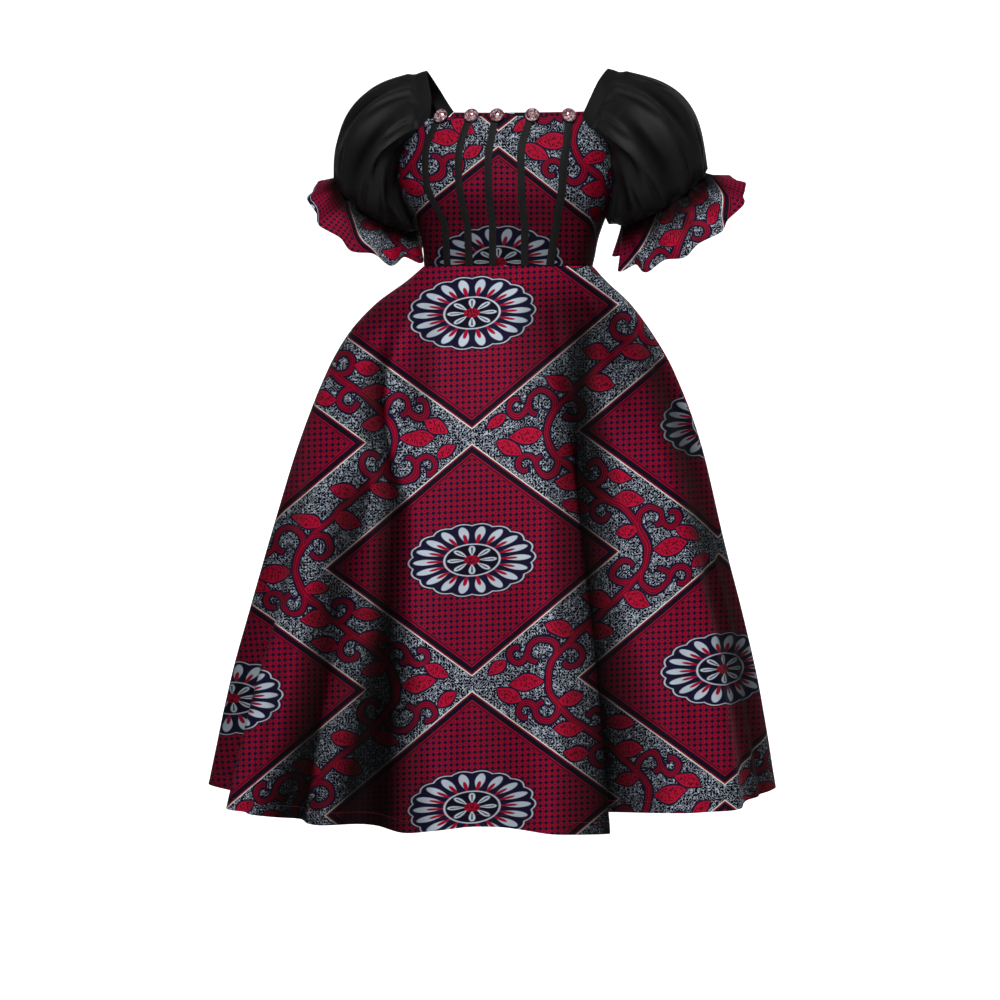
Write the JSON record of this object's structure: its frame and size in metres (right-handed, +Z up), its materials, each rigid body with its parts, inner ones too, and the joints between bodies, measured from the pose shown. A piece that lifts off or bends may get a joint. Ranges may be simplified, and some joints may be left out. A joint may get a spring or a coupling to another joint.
{
  "type": "ankara wax print dress",
  "caption": "Knee-length wax-print dress with a fitted bodice, flared skirt with side pockets, black puff sleeves ending in printed ruffles, and jewelled buttons along the straight neckline.",
  "frame": {"origin": "midway between the tops of the two shoulder straps, where the dress hangs from its wearer", "axes": "+X the wearer's left, -Y the front, +Z up from the hem to the shoulders"},
  "size_m": [0.9043, 0.7462, 1.1193],
  "materials": {
    "wax_print": "crisp printed cotton, softly glazed",
    "black_cloth": "matt to satin woven cloth",
    "button_black": "moulded, smooth",
    "pink_crystal": "faceted, clear over a foil back",
    "dark_metal": "dark coated zinc"
  },
  "bodies": {
    "dress": {"bodice_front": "wax_print", "bodice_back_left": "wax_print", "bodice_back_right": "wax_print", "skirt_front": "wax_print", "skirt_back_left": "wax_print", "skirt_back_right": "wax_print", "ruffle_left": "wax_print", "ruffle_right": "wax_print", "strap_left": "black_cloth", "strap_right": "black_cloth", "sleeve_left": "black_cloth", "sleeve_right": "black_cloth", "pocket_left": "black_cloth", "pocket_right": "black_cloth", "tape_1": "black_cloth", "tape_2": "black_cloth", "tape_3": "black_cloth", "tape_4": "black_cloth", "tape_5": "black_cloth", "zip_tape": "black_cloth", "button_1": "button_black", "button_2": "button_black", "button_3": "button_black", "button_4": "button_black", "button_5": "button_black", "crystal_1": "pink_crystal", "crystal_2": "pink_crystal", "crystal_3": "pink_crystal", "crystal_4": "pink_crystal", "crystal_5": "pink_crystal", "zip_slider": "dark_metal"},
    "zip_pull": {"zip_pull": "dark_metal"}
  },
  "joints": [
    {"name": "zip_pull_hinge", "type": "hinge", "parent": "dress", "child": "zip_pull", "pos_m": [-0.00252, 0.0981, -0.07418], "axis": [1, 0, 0], "range_deg": [0, 140]}
  ]
}
